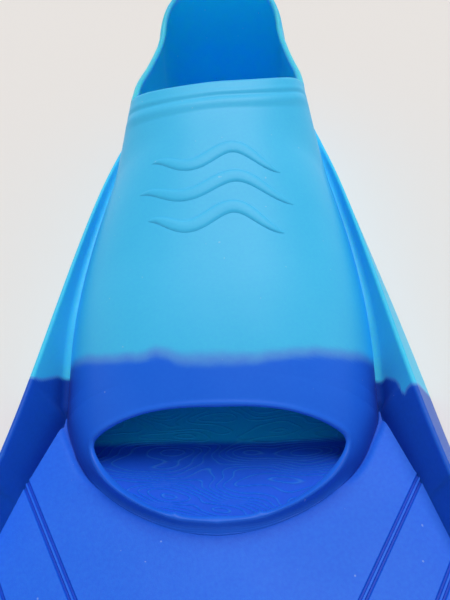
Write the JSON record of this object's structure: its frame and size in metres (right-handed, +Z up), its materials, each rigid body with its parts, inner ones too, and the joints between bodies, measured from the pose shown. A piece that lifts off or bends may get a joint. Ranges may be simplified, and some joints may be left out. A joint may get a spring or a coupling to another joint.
{
  "type": "swim fin",
  "caption": "Full-foot swim training fin with a toe opening, side rails and a short flexible blade.",
  "frame": {"origin": "on the surface the fin lies on, under the middle of its length and width", "axes": "+X across the fin, +Y towards the heel, -Y towards the blade tip, +Z up"},
  "size_m": [0.195, 0.39, 0.079],
  "materials": {
    "light_rubber": "satin moulded silicone",
    "dark_rubber": "satin moulded silicone"
  },
  "bodies": {
    "foot_pocket": {"footbed_rear": "light_rubber", "footbed_front": "dark_rubber", "instep_upper": "light_rubber", "toe_cap": "dark_rubber", "collar_band": "light_rubber", "heel_cup": "light_rubber", "ankle_rim": "light_rubber", "rail_rear_left": "light_rubber", "rail_rear_right": "light_rubber", "rail_front_left": "dark_rubber", "rail_front_right": "dark_rubber", "blade_panel_root": "dark_rubber"},
    "blade_middle": {"blade_panel_middle": "dark_rubber", "rail_mid_left": "dark_rubber", "rail_mid_right": "dark_rubber"},
    "blade_tip": {"blade_panel_tip": "dark_rubber", "rail_tip_left": "dark_rubber", "rail_tip_right": "dark_rubber", "blade_tip_edge": "dark_rubber"}
  },
  "joints": [
    {"name": "blade_root_flex", "type": "hinge", "parent": "foot_pocket", "child": "blade_middle", "pos_m": [0, -0.098, 0.0052], "axis": [1, 0, 0], "range_deg": [-20, 20], "stiffness_Nm_per_rad": 6},
    {"name": "blade_tip_flex", "type": "hinge", "parent": "blade_middle", "child": "blade_tip", "pos_m": [0, -0.148, 0.0041], "axis": [1, 0, 0], "range_deg": [-25, 25], "stiffness_Nm_per_rad": 3}
  ]
}
